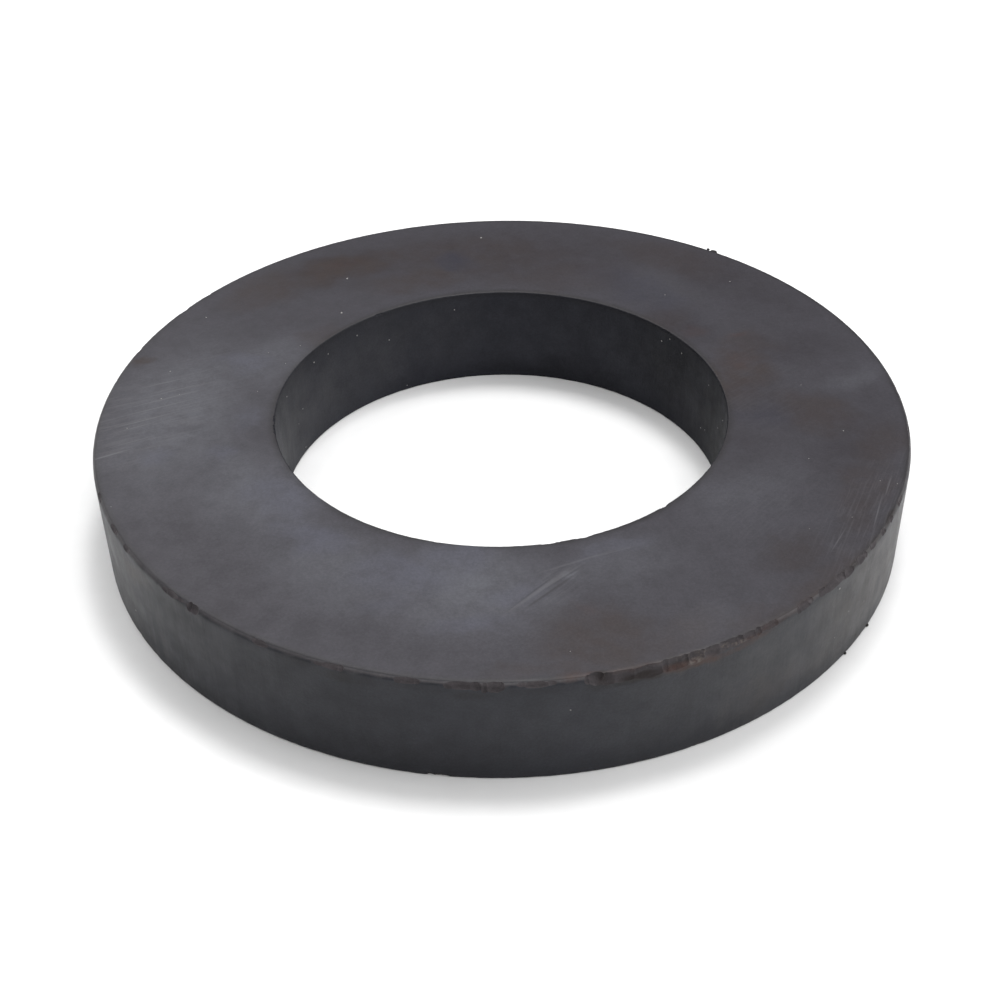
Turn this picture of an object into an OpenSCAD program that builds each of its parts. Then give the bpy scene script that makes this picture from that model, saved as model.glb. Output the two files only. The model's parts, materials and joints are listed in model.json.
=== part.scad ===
// Ring magnet: one flat ring of sintered ferrite. Both faces are ground flat, the walls are
// as they were pressed, and the brittle rims are chipped and worn by use.
// The axis is Z. The lower face lies on z = 0 with its centre at the origin.
// Angles round the ring are in degrees from +X, turning towards +Y.

/* [Ring] */
// Outer diameter of the ring
outer_d = 80; // [60:0.5:160]
// Diameter of the bore through the ring
bore_d = 44.8; // [20:0.1:52]
// Height of the ring, from ground face to ground face
ring_h = 10.9; // [6:0.1:30]
// Radius of the upper outer rim, which is worn rounder than the others
worn_r = 0.5; // [0.1:0.05:0.8]
// Radius of the other three rims
edge_r = 0.2; // [0.05:0.05:0.5]

/* [Chips and pits] */
// Size of the chips along the rims, where 1 is the worn ring as it is
chip_scale = 1; // [0.5:0.1:1.5]
// Size of the pits in the walls, where 1 is the worn ring as it is
pit_scale = 1; // [0.5:0.1:1.5]

/* [Hidden] */

$fn = 180;
scoop_fn = 96;
arc_fn = 24;
outer_r = outer_d / 2;
bore_r = bore_d / 2;

// Each chip is [angle, reach over the face, reach along the wall, length along the rim].
// The front of the upper outer rim: long flakes that ran down the wall.
front_flakes = [
    [258.5, 0.30, 0.55, 2.4],
    [264.8, 0.32, 0.70, 2.6],
    [268.7, 0.34, 0.90, 1.8],
    [273.5, 0.30, 0.55, 2.6],
    [280.5, 0.60, 0.95, 1.7],
    [283.6, 0.34, 1.05, 3.0],
    [287.0, 0.36, 1.20, 3.0]
];
// The stretch beside them: a run of shallow bites that leaves a ragged, blunt rim.
worn_run = [
    [290.2, 0.40, 1.10, 2.6],
    [292.8, 0.42, 0.90, 2.0],
    [295.2, 0.40, 0.80, 2.4],
    [297.8, 0.42, 0.70, 2.0],
    [300.4, 0.36, 0.60, 2.2],
    [303.6, 0.32, 0.55, 2.0]
];
// Single flakes and nicks on the rest of the upper outer rim.
outer_nicks = [
    [2.3, 0.30, 0.45, 1.3],
    [51.0, 0.30, 0.45, 1.6],
    [118.0, 0.30, 0.45, 1.4],
    [144.6, 0.38, 0.50, 1.3],
    [150.2, 0.42, 0.55, 1.5],
    [162.7, 0.34, 0.45, 1.3],
    [171.3, 0.30, 0.42, 1.1],
    [200.6, 0.34, 0.45, 1.3],
    [208.2, 0.36, 0.45, 1.8],
    [213.0, 0.30, 0.50, 1.6],
    [224.4, 0.32, 0.55, 2.6],
    [228.7, 0.44, 0.70, 1.5],
    [239.6, 0.30, 0.50, 2.0],
    [249.4, 0.30, 0.50, 2.4],
    [309.3, 0.42, 0.60, 1.7],
    [314.8, 0.46, 0.60, 3.0],
    [318.4, 0.42, 0.70, 1.6],
    [321.4, 0.42, 0.60, 1.7],
    [324.8, 0.32, 0.45, 1.4],
    [328.0, 0.36, 0.50, 1.2],
    [331.0, 0.34, 0.48, 1.1],
    [335.6, 0.30, 0.45, 1.4],
    [352.0, 0.30, 0.45, 1.2]
];
bore_nicks = [
    [37.5, 0.12, 0.30, 1.2],
    [126.0, 0.14, 0.30, 1.0],
    [184.7, 0.20, 0.30, 1.0],
    [189.4, 0.22, 0.30, 1.3],
    [236.0, 0.12, 0.25, 1.2],
    [255.0, 0.12, 0.25, 1.4],
    [269.1, 0.12, 0.25, 1.4],
    [280.6, 0.22, 0.35, 1.8],
    [288.7, 0.26, 0.40, 1.4],
    [310.9, 0.24, 0.35, 1.0],
    [330.0, 0.12, 0.25, 1.0]
];
base_nicks = [
    [212.0, 0.16, 0.30, 1.2],
    [246.0, 0.12, 0.25, 1.6],
    [261.9, 0.22, 0.40, 1.6],
    [294.0, 0.12, 0.30, 1.4]
];
// Each pit is [angle, height up the wall as a share of ring_h, radius]. It is half as deep.
bore_pits = [[160.8, 0.68, 0.35], [31.2, 0.86, 0.25], [118.0, 0.45, 0.30]];
wall_pits = [[234.0, 0.35, 0.30], [262.5, 0.62, 0.35], [279.0, 0.30, 0.25], [303.0, 0.55, 0.35]];

// Half the section of the ring: a rectangle whose four corners are true arcs. The polygon runs
// between the points where the arcs begin and end, and the circles add the arcs themselves.
module section() {
    polygon([
        [bore_r, edge_r],
        [bore_r + edge_r, 0],
        [outer_r - edge_r, 0],
        [outer_r, edge_r],
        [outer_r, ring_h - worn_r],
        [outer_r - worn_r, ring_h],
        [bore_r + edge_r, ring_h],
        [bore_r, ring_h - edge_r]
    ]);
    for (corner = [[bore_r + edge_r, edge_r], [outer_r - edge_r, edge_r], [bore_r + edge_r, ring_h - edge_r]])
        translate(corner)
            circle(r = edge_r, $fn = arc_fn);
    translate([outer_r - worn_r, ring_h - worn_r])
        circle(r = worn_r, $fn = arc_fn);
}

// Scoop of one chip: a ball of air that meets the face, the wall and the rim where the chip
// ends. The rim is at radius rim_r and height rim_z, out is 1 where air lies outside the wall
// and -1 where it lies in the bore, and up is 1 on the upper face, -1 on the lower one.
module scoop(chip, rim_r, rim_z, out, up) {
    over = chip[1] * chip_scale;
    down = chip[2] * chip_scale;
    half_len = chip[3] * chip_scale / 2;
    // The chord joins the chip's two ends in the section; the rim lies rim_off from it
    chord = norm([over, down]);
    rim_off = over * down / chord;
    rim_shift = (down * down - over * over) / (2 * chord);
    reach = half_len * half_len - chord * chord / 4 + rim_off * rim_off + rim_shift * rim_shift;
    stand_off = reach / (2 * rim_off);
    ball_r = norm([stand_off, chord / 2]);
    r = rim_r + out * (stand_off * down / chord - over / 2);
    z = rim_z + up * (stand_off * over / chord - down / 2);
    rotate([0, 0, chip[0]])
        translate([r, 0, z])
            sphere(r = ball_r, $fn = scoop_fn);
}

module scoops(chips, rim_r, rim_z, out, up) {
    for (chip = chips)
        scoop(chip, rim_r, rim_z, out, up);
}

// Shallow pit in a wall: a ball that reaches half its radius into the material.
module pit(place, wall_r, out) {
    ball_r = place[2] * pit_scale;
    rotate([0, 0, place[0]])
        translate([wall_r + out * ball_r / 2, 0, place[1] * ring_h])
            sphere(r = ball_r, $fn = scoop_fn);
}

module ring_magnet() {
    color([0.33, 0.33, 0.35])
        difference() {
            rotate_extrude()
                section();
            scoops(front_flakes, outer_r, ring_h, 1, 1);
            scoops(worn_run, outer_r, ring_h, 1, 1);
            scoops(outer_nicks, outer_r, ring_h, 1, 1);
            scoops(bore_nicks, bore_r, ring_h, -1, 1);
            scoops(base_nicks, outer_r, 0, 1, -1);
            for (place = bore_pits)
                pit(place, bore_r, -1);
            for (place = wall_pits)
                pit(place, outer_r, 1);
        }
}

ring_magnet();
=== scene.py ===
"""Dresses the ring magnet: one ferrite ring with ground faces, as-pressed walls and chipped rims.

Everything is in metres in the row frame: +Z is the ring's axis and the lower face lies on z = 0.
Names that end in _mm hold millimetres on the real ring. Angles round the ring are in degrees
from +X, turning towards +Y.
"""

import itertools
import json
import logging
import math
import random
from contextlib import contextmanager
from dataclasses import dataclass, replace
from enum import Enum
from typing import Any, Callable, Iterable, Iterator, Sequence

import bpy
from mathutils import Matrix, Vector


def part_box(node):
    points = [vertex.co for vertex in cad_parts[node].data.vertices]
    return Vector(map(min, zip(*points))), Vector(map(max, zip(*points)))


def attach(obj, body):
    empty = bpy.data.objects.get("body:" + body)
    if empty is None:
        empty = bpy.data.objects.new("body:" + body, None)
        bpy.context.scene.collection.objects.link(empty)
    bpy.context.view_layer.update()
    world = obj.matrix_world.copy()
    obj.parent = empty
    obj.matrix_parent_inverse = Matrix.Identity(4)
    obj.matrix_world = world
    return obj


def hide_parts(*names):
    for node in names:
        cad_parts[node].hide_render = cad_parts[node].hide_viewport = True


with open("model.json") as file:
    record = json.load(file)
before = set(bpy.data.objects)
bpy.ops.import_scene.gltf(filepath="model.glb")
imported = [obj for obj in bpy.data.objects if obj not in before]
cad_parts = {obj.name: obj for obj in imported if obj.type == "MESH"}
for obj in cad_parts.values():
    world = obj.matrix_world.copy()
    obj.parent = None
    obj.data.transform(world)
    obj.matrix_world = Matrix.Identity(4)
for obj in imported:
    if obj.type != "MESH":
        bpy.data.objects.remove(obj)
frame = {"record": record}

LOG = logging.getLogger("ring_magnet")
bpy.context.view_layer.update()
MM = 0.001
NODE = "ring_magnet"
BODY = "root"
WELD = 0.001 * MM  # points that lie nearer to each other than this are one point

Point = tuple[float, float]
Point3 = tuple[float, float, float]
Colour = tuple[float, float, float]
Socket = bpy.types.NodeSocket
Value = float | Socket


def on_wheel(radius: float, angle: float, height: float = 0.0) -> Vector:
    """Give the point at a radius, an angle in degrees and a height round the ring's axis."""
    turn = math.radians(angle)
    return Vector((radius * math.cos(turn), radius * math.sin(turn), height))


def aloft(distance: float, azimuth: float, elevation: float) -> Vector:
    """Give the point at a distance from the origin, its direction given by two angles in degrees."""
    lift = math.radians(elevation)
    return on_wheel(distance * math.cos(lift), azimuth, distance * math.sin(lift))


# ---------------------------------------------------------------------------------------------
# The ring's sizes, its rims and the chips in them
# ---------------------------------------------------------------------------------------------


@dataclass(frozen=True)
class RingSize:
    """The ring's sizes in metres: the large ones are read from the frame, the rims' radii set here.

    Attributes:
        outer_r: Radius of its outer wall, from the CAD node.
        bore_r: Radius of its bore, from the bore's mount.
        height: Its height, from the CAD node.
        worn_r: Radius of its upper outer rim, which is worn rounder than the others.
        edge_r: Radius of its other three rims.
    """

    outer_r: float
    bore_r: float
    height: float
    worn_r: float = 0.5 * MM
    edge_r: float = 0.2 * MM

    @classmethod
    def from_frame(cls) -> "RingSize":
        """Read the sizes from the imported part.

        Returns:
            The sizes of the ring that the frame holds.
        """
        low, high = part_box(NODE)
        mounts = {mount["name"]: mount for mount in frame["record"]["mounts"]}
        bore_r = mounts["bore"]["dims"]["r_mm"] * MM
        return cls(outer_r=(high.x - low.x) / 2, bore_r=bore_r, height=high.z)


class Rim(Enum):
    """The four rims of the ring, each as (on the outer wall, on the upper face)."""

    UPPER_OUTER = (True, True)
    UPPER_BORE = (False, True)
    LOWER_OUTER = (True, False)
    LOWER_BORE = (False, False)

    def radius(self, size: RingSize) -> float:
        """Give the rim's radius."""
        return size.outer_r if self.value[0] else size.bore_r

    def height(self, size: RingSize) -> float:
        """Give the rim's height."""
        return size.height if self.value[1] else 0.0

    def air(self) -> tuple[int, int]:
        """Give the side of the air: 1 outwards or -1 into the bore, and 1 up or -1 down."""
        return (1 if self.value[0] else -1), (1 if self.value[1] else -1)


@dataclass(frozen=True)
class Chip:
    """One flake lost from a rim.

    Attributes:
        angle: Where its middle is round the ring, in degrees.
        over_mm: How far it reaches in over the face.
        down_mm: How far it reaches along the wall.
        length_mm: How long it is along the rim.
    """

    angle: float
    over_mm: float
    down_mm: float
    length_mm: float


UPPER_OUTER_CHIPS = [
    Chip(258.5, 0.30, 0.55, 2.4), Chip(264.8, 0.32, 0.70, 2.6), Chip(268.7, 0.34, 0.90, 1.8),
    Chip(273.5, 0.30, 0.55, 2.6), Chip(280.5, 0.60, 0.95, 1.7), Chip(283.6, 0.34, 1.05, 3.0),
    Chip(287.0, 0.36, 1.20, 3.0), Chip(290.2, 0.40, 1.10, 2.6), Chip(292.8, 0.42, 0.90, 2.0),
    Chip(295.2, 0.40, 0.80, 2.4), Chip(297.8, 0.42, 0.70, 2.0), Chip(300.4, 0.36, 0.60, 2.2),
    Chip(303.6, 0.32, 0.55, 2.0), Chip(2.3, 0.30, 0.45, 1.3), Chip(51.0, 0.30, 0.45, 1.6),
    Chip(118.0, 0.30, 0.45, 1.4), Chip(144.6, 0.38, 0.50, 1.3), Chip(150.2, 0.42, 0.55, 1.5),
    Chip(162.7, 0.34, 0.45, 1.3), Chip(171.3, 0.30, 0.42, 1.1), Chip(200.6, 0.34, 0.45, 1.3),
    Chip(208.2, 0.36, 0.45, 1.8), Chip(213.0, 0.30, 0.50, 1.6), Chip(224.4, 0.32, 0.55, 2.6),
    Chip(228.7, 0.44, 0.70, 1.5), Chip(239.6, 0.30, 0.50, 2.0), Chip(249.4, 0.30, 0.50, 2.4),
    Chip(309.3, 0.42, 0.60, 1.7), Chip(314.8, 0.46, 0.60, 3.0), Chip(318.4, 0.42, 0.70, 1.6),
    Chip(321.4, 0.42, 0.60, 1.7), Chip(324.8, 0.32, 0.45, 1.4), Chip(328.0, 0.36, 0.50, 1.2),
    Chip(331.0, 0.34, 0.48, 1.1), Chip(335.6, 0.30, 0.45, 1.4), Chip(352.0, 0.30, 0.45, 1.2),
]
UPPER_BORE_CHIPS = [
    Chip(37.5, 0.12, 0.30, 1.2), Chip(126.0, 0.14, 0.30, 1.0), Chip(184.7, 0.20, 0.30, 1.0),
    Chip(189.4, 0.22, 0.30, 1.3), Chip(236.0, 0.12, 0.25, 1.2), Chip(255.0, 0.12, 0.25, 1.4),
    Chip(269.1, 0.12, 0.25, 1.4), Chip(280.6, 0.22, 0.35, 1.8), Chip(288.7, 0.26, 0.40, 1.4),
    Chip(310.9, 0.24, 0.35, 1.0), Chip(330.0, 0.12, 0.25, 1.0),
]
LOWER_OUTER_CHIPS = [
    Chip(212.0, 0.16, 0.30, 1.2), Chip(246.0, 0.12, 0.25, 1.6), Chip(261.9, 0.22, 0.40, 1.6),
    Chip(294.0, 0.12, 0.30, 1.4),
]
CHIPS = {
    Rim.UPPER_OUTER: UPPER_OUTER_CHIPS,
    Rim.UPPER_BORE: UPPER_BORE_CHIPS,
    Rim.LOWER_OUTER: LOWER_OUTER_CHIPS,
}


# ---------------------------------------------------------------------------------------------
# Bench work: small helpers round Blender's operators
# ---------------------------------------------------------------------------------------------


def clear_selection() -> None:
    """Deselect every object, because loading the frame leaves the CAD nodes selected."""
    bpy.ops.object.select_all(action="DESELECT")


def take_up(piece: bpy.types.Object) -> None:
    """Make one object the selected and active one."""
    clear_selection()
    piece.select_set(True)
    bpy.context.view_layer.objects.active = piece


def apply_modifier(piece: bpy.types.Object, kind: str, **settings: Any) -> None:
    """Add a modifier to a piece and apply it at once.

    Args:
        piece: The object to change.
        kind: Blender's name for the type of modifier.
        **settings: Its settings, by name.
    """
    take_up(piece)
    modifier = piece.modifiers.new(kind.lower(), kind)
    for name, value in settings.items():
        setattr(modifier, name, value)
    bpy.ops.object.modifier_apply(modifier=modifier.name)


@contextmanager
def open_mesh() -> Iterator[None]:
    """Open the active object's mesh, with everything in it selected, and close it afterwards."""
    bpy.ops.object.mode_set(mode="EDIT")
    bpy.ops.mesh.select_all(action="SELECT")
    yield
    bpy.ops.object.mode_set(mode="OBJECT")


def add_ball(middle: Vector, turn: Point3, halves: Point3, divisions: int) -> bpy.types.Object:
    """Make a stretched ball whose mesh holds its place, its turn and its sizes.

    Args:
        middle: Where its middle lies.
        turn: Its turn, as an Euler angle.
        halves: Half its sizes along its own three axes.
        divisions: How finely it is divided.

    Returns:
        The ball.
    """
    clear_selection()
    bpy.ops.mesh.primitive_ico_sphere_add(subdivisions=divisions, radius=1.0, location=middle,
                                          rotation=turn, scale=halves)
    bpy.ops.object.transform_apply(location=True, rotation=True, scale=True)
    return bpy.context.object


def join(pieces: Sequence[bpy.types.Object]) -> bpy.types.Object:
    """Join pieces into the first one and return it."""
    clear_selection()
    for piece in pieces:
        piece.select_set(True)
    bpy.context.view_layer.objects.active = pieces[0]
    bpy.ops.object.join()
    return pieces[0]


def weigh_vertices(piece: bpy.types.Object, name: str, weight: Callable[[Vector], float]) -> None:
    """Add a vertex group whose weights follow each vertex's place.

    Args:
        piece: The object that gets the group.
        name: The group's name.
        weight: Gives the weight, from 0 to 1, at a place.
    """
    group = piece.vertex_groups.new(name=name)
    for vertex in piece.data.vertices:
        share = weight(vertex.co)
        if share > 0:
            group.add([vertex.index], share, "REPLACE")


def soft_noise(name: str, grain: float) -> bpy.types.Texture:
    """Make a cloudy solid texture, with clouds of one size in metres, for displacing a mesh."""
    texture = bpy.data.textures.new(name, "CLOUDS")
    texture.noise_scale = grain
    texture.noise_depth = 2
    texture.noise_basis = "ORIGINAL_PERLIN"
    return texture


# ---------------------------------------------------------------------------------------------
# Wiring of materials: each node but the shader is made after the nodes that feed it
# ---------------------------------------------------------------------------------------------


class Bench:
    """Wires up the nodes of one material."""

    def __init__(self, name: str) -> None:
        """Start an empty material with a Principled shader on its output."""
        self.material = bpy.data.materials.new(name)
        self.material.use_nodes = True
        self.tree = self.material.node_tree
        self.tree.nodes.clear()
        self.shader = self.tree.nodes.new("ShaderNodeBsdfPrincipled")
        output = self.tree.nodes.new("ShaderNodeOutputMaterial")
        self.tree.links.new(self.shader.outputs["BSDF"], output.inputs["Surface"])
        place = self.tree.nodes.new("ShaderNodeTexCoord")
        self.place = place.outputs["Object"]

    def plug(self, socket: Socket, value: Any) -> None:
        """Link a socket to another one, or set it to a constant."""
        if isinstance(value, bpy.types.NodeSocket):
            self.tree.links.new(value, socket)
        else:
            socket.default_value = value

    def paint(self, socket: Socket, colour: Any) -> None:
        """Link a colour socket to another one, or set it to a plain colour."""
        self.plug(socket, colour if isinstance(colour, bpy.types.NodeSocket) else (*colour, 1.0))

    def math(self, operation: str, *values: Value) -> Socket:
        """Join values with a Math node.

        Args:
            operation: The node's operation, such as MULTIPLY.
            *values: Its inputs in order, each a number or a socket.

        Returns:
            The result's socket.
        """
        node = self.tree.nodes.new("ShaderNodeMath")
        node.operation = operation
        for socket, value in zip(node.inputs, values):
            self.plug(socket, value)
        return node.outputs[0]

    def vector(self, operation: str, *values: Any, output: str = "Vector") -> Socket:
        """Join vectors with a Vector Math node and return the named output."""
        node = self.tree.nodes.new("ShaderNodeVectorMath")
        node.operation = operation
        for socket, value in zip(node.inputs, values):
            self.plug(socket, value)
        return node.outputs[output]

    def ease(self, value: Value, start: Value, end: Value, low: Value = 0.0, high: Value = 1.0) -> Socket:
        """Turn a value smoothly from low at start to high at end.

        Args:
            value: The value to read.
            start: Where the result begins to leave low.
            end: Where the result has reached high.
            low: The result before start.
            high: The result after end.

        Returns:
            The result's socket.
        """
        node = self.tree.nodes.new("ShaderNodeMapRange")
        node.interpolation_type = "SMOOTHSTEP"
        node.clamp = False
        settings = {"Value": value, "From Min": start, "From Max": end, "To Min": low, "To Max": high}
        for name, setting in settings.items():
            self.plug(node.inputs[name], setting)
        return node.outputs["Result"]

    def noise(
        self,
        grain_mm: float,
        detail: float = 2.0,
        stretch: Sequence[float] = (1.0, 1.0, 1.0),
        turn: float = 0.0,
        output: str = "Fac",
        rough: float = 0.5,
    ) -> Socket:
        """Make solid noise on the piece's own coordinates.

        Args:
            grain_mm: Size of its grains.
            detail: How many finer layers it has.
            stretch: How much longer its grains are along x, y and z.
            turn: Angle in degrees that the stretched grains are turned by, about z.
            output: Fac for a value, or Color for three.
            rough: How strong the finer layers are.

        Returns:
            The noise's socket.
        """
        placed = self.placed(self.place, Vector((0, 0, 0)), turn, [grain_mm * MM * s for s in stretch])
        node = self.tree.nodes.new("ShaderNodeTexNoise")
        node.inputs["Scale"].default_value = 1.0
        node.inputs["Detail"].default_value = detail
        node.inputs["Roughness"].default_value = rough
        self.plug(node.inputs["Vector"], placed)
        return node.outputs[output]

    def placed(self, at: Socket, centre: Vector, turn: float, scale: Sequence[float]) -> Socket:
        """Count coordinates from a centre, in units of scale, along axes turned about z."""
        node = self.tree.nodes.new("ShaderNodeMapping")
        node.vector_type = "TEXTURE"
        node.inputs["Location"].default_value = centre
        node.inputs["Rotation"].default_value = (0.0, 0.0, math.radians(turn))
        node.inputs["Scale"].default_value = scale
        self.plug(node.inputs["Vector"], at)
        return node.outputs["Vector"]

    def nearness(self, at: Socket, centre: Vector, turn: float, reach: Sequence[float]) -> Socket:
        """Give 1 at a centre, falling evenly to 0 at the border of an ellipsoid and beyond it."""
        placed = self.placed(at, centre, turn, reach)
        node = self.tree.nodes.new("ShaderNodeTexGradient")
        node.gradient_type = "SPHERICAL"
        self.plug(node.inputs["Vector"], placed)
        return node.outputs["Fac"]

    def blend(self, share: Value, first: Any, second: Any, mode: str = "MIX") -> Socket:
        """Blend two colours.

        Args:
            share: How much of the second one, from 0 to 1.
            first: The colour at share 0.
            second: The colour at share 1.
            mode: Blender's name for the way they blend.

        Returns:
            The colour's socket.
        """
        node = self.tree.nodes.new("ShaderNodeMix")
        node.data_type = "RGBA"
        node.blend_type = mode
        self.plug(node.inputs["Factor"], share)
        for name, colour in (("A", first), ("B", second)):
            socket = next(s for s in node.inputs if s.name == name and s.type == "RGBA")
            self.paint(socket, colour)
        return next(s for s in node.outputs if s.type == "RGBA")

    def bump(self, height: Socket, distance: float, strength: float, below: Socket | None = None) -> Socket:
        """Turn a height into a normal.

        Args:
            height: The height's socket.
            distance: How many metres a height of 1 stands for.
            strength: Share of the effect that shows.
            below: A normal that this one is laid over.

        Returns:
            The normal's socket.
        """
        node = self.tree.nodes.new("ShaderNodeBump")
        node.inputs["Strength"].default_value = strength
        node.inputs["Distance"].default_value = distance
        self.plug(node.inputs["Height"], height)
        if below is not None:
            self.plug(node.inputs["Normal"], below)
        return node.outputs["Normal"]

    def finish(self, colour: Any, roughness: Value, specular: float,
               normal: Socket | None = None) -> bpy.types.Material:
        """Connect the shader and return the material."""
        inputs = self.shader.inputs
        self.paint(inputs["Base Color"], colour)
        self.plug(inputs["Roughness"], roughness)
        inputs["Specular IOR Level"].default_value = specular
        if normal is not None:
            self.plug(inputs["Normal"], normal)
        return self.material


# ---------------------------------------------------------------------------------------------
# Where the stains, the scratches, the worn patches and the patches of painted light and shade are
# ---------------------------------------------------------------------------------------------

FADE = 1.35  # how far a mark's fading border reaches, as a share of its half sizes
FACE_MARK_DEPTH_MM = 3.0  # how deep the face's marks reach
WALL_MARK_DEPTH_MM = 4.0  # how deep the walls' marks reach at least


@dataclass(frozen=True)
class Mark:
    """A stain, scratch, worn patch or patch of painted light or shade on the upper face: an ellipse with a
    soft, ragged border.

    Attributes:
        x_mm: Where its middle lies.
        y_mm: Where its middle lies.
        long_mm: Half its length.
        wide_mm: Half its width.
        turn: Angle of its length, in degrees from +X.
        strength: How strongly it shows, from 0 to 1.
    """

    x_mm: float
    y_mm: float
    long_mm: float
    wide_mm: float
    turn: float = 0.0
    strength: float = 1.0

    def lie(self, size: RingSize) -> tuple[Vector, float, Point3]:
        """Give the mark's centre, its turn about z and its half sizes, in metres."""
        centre = Vector((self.x_mm * MM, self.y_mm * MM, size.height))
        return centre, self.turn, (self.long_mm * MM, self.wide_mm * MM, FACE_MARK_DEPTH_MM * MM)


@dataclass(frozen=True)
class Scoring:
    """A patch of the upper face that is scored with fine parallel lines.

    Attributes:
        patch: Where it is.
        turn: Direction of its lines, in degrees from +X.
        spacing_mm: How far its lines lie apart.
        strength: How much lighter its lines are.
    """

    patch: Mark
    turn: float
    spacing_mm: float
    strength: float


@dataclass(frozen=True)
class WallMark:
    """A stain, a worn patch or a patch of painted light or shade on one of the two walls.

    Attributes:
        angle: Where its middle is round the ring, in degrees.
        height_mm: How high its middle lies.
        long_mm: Half its length along the wall.
        high_mm: Half its height.
        strength: How strongly it shows, from 0 to 1.
        in_bore: Whether it lies on the bore's wall.
    """

    angle: float
    height_mm: float
    long_mm: float
    high_mm: float
    strength: float = 1.0
    in_bore: bool = False

    def lie(self, size: RingSize) -> tuple[Vector, float, Point3]:
        """Give the mark's centre, its turn about z and its half sizes, in metres.

        A long mark is deep enough to follow the wall round its curve.
        """
        radius = size.bore_r if self.in_bore else size.outer_r
        depth_mm = max(WALL_MARK_DEPTH_MM, self.long_mm ** 2 / (radius / MM))
        centre = on_wheel(radius, self.angle, self.height_mm * MM)
        return centre, self.angle + 90.0, (self.long_mm * MM, depth_mm * MM, self.high_mm * MM)


@dataclass(frozen=True)
class RimMark:
    """A stain or a patch of painted shade along the upper outer rim, on the face and the wall alike.

    Attributes:
        angle: Where its middle is round the ring, in degrees.
        long_mm: Half its length along the rim.
        over_mm: How far it reaches over the face.
        down_mm: How far it reaches down the wall.
        strength: How strongly it shows, from 0 to 1.
    """

    angle: float
    long_mm: float
    over_mm: float
    down_mm: float
    strength: float = 1.0

    def lie(self, size: RingSize) -> tuple[Vector, float, Point3]:
        """Give the mark's centre, its turn about z and its half sizes, in metres."""
        centre = on_wheel(size.outer_r, self.angle, size.height)
        return centre, self.angle + 90.0, (self.long_mm * MM, self.over_mm * MM, self.down_mm * MM)


AnyMark = Mark | WallMark | RimMark


def into_bore(*things: Any) -> list[Any]:
    """Move marks or specks from the outer wall to the bore's wall."""
    return [replace(thing, in_bore=True) for thing in things]


# Painted light together with the face's own lighter blue-grey tone: the ground face is painted lighter
# towards the front-left, where the light falls, and the small bright spot on the scratched patch is a
# painted highlight.
FACE_PAINTED_LIGHT_AND_TONE = [
    Mark(-32, -1, 15, 8, 88, 0.85), Mark(-24, 9, 7, 5, 60, 0.6), Mark(-23, -14, 10, 6, -50, 0.75),
    Mark(-14, -25, 8, 6, -30, 0.65), Mark(-3, -28, 9, 7, 0, 1.0), Mark(10, -25, 7, 4, 25, 0.45),
    Mark(22, -15, 7, 5, 45, 0.35), Mark(36, 4, 4.5, 1.8, 25, 0.4), Mark(16.5, -33.5, 4, 2.5, 20, 0.4),
    Mark(6.0, -26.4, 1.5, 0.9, 30, 1.0), Mark(6.1, -26.3, 0.7, 0.5, 30, 1.0),
    Mark(20, 23, 7, 4, -45, 0.2),
]
# Painted shade together with the face's own darker tone: the ground face is painted darker towards the back
# and the right, away from where the light falls.
FACE_PAINTED_SHADE_AND_TONE = [
    Mark(0, 31, 25, 7, 0, 0.6), Mark(-17, 29, 9, 5, 25, 0.9), Mark(19, 14, 5, 4, -40, 0.7),
    Mark(23, -8, 6, 4, 70, 0.5), Mark(32, -19, 7, 3.5, 60, 0.4), Mark(37, -1, 4, 2.5, 80, 0.3),
    Mark(26, 24, 14, 7, -45, 0.55), Mark(31, 10, 6, 4, 0, 0.6), Mark(27, -2, 6, 6, 0, 0.5),
    Mark(33, -8, 9, 5, 70, 0.65), Mark(26, -24, 5, 3.5, 50, 0.55), Mark(-5, 29.5, 3, 2.4, 0, 0.5),
    Mark(-34, -22, 6, 3, -55, 0.3), Mark(-26, -30, 6, 3, -35, 0.3), Mark(-37.5, 16, 4, 2, 70, 0.3),
]
FACE_BROWN = [
    Mark(-17.5, 28.5, 6.5, 3.2, 28, 0.95), Mark(-13, 31, 4, 2.6, 25, 0.6), Mark(-26, 24, 6, 3.4, 42, 0.65),
    Mark(-9, 25.5, 7, 2.6, 15, 0.6), Mark(-3, 31, 12, 5, 0, 0.45), Mark(6, 26, 9, 4, 0, 0.35),
    Mark(19, 30, 8, 3.5, -30, 0.4), Mark(24.5, 5.5, 6, 3.6, 80, 0.75), Mark(26, 11, 4, 3, 30, 0.45),
    Mark(31.0, -2, 4.5, 3.5, -30, 0.55), Mark(36, -8, 5, 2.5, 70, 0.45), Mark(33, -16, 7, 2.4, 70, 0.45),
    Mark(25.5, -23.5, 4, 2.6, 50, 0.35), Mark(28, -27.5, 7, 2.2, 42, 0.55), Mark(21, -33, 5, 1.6, 30, 0.4),
    Mark(8, -34.5, 6.0, 4.0, 0, 0.75), Mark(5, -38.5, 7, 1.2, 5, 0.5), Mark(14, -34.5, 5, 3, 20, 0.45),
    Mark(-37.6, 9.5, 1.2, 1.0, 60, 1.0), Mark(18, 16, 5, 2.5, 45, 0.3), Mark(-19.5, 14, 3, 1.6, 50, 0.35),
]
FACE_RUST = [
    Mark(8.5, -38.6, 3.0, 0.6, 12, 0.6), Mark(-17, 29, 2.4, 1.4, 30, 0.12), Mark(24.5, 7, 1.8, 1.8, 0, 0.2),
    Mark(25.5, 12.6, 1.2, 0.9, 0, 0.25), Mark(20.5, 13.5, 1.6, 1.0, 40, 0.2),
    Mark(6.5, -31, 1.4, 1.0, 0, 0.15),
]
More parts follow.
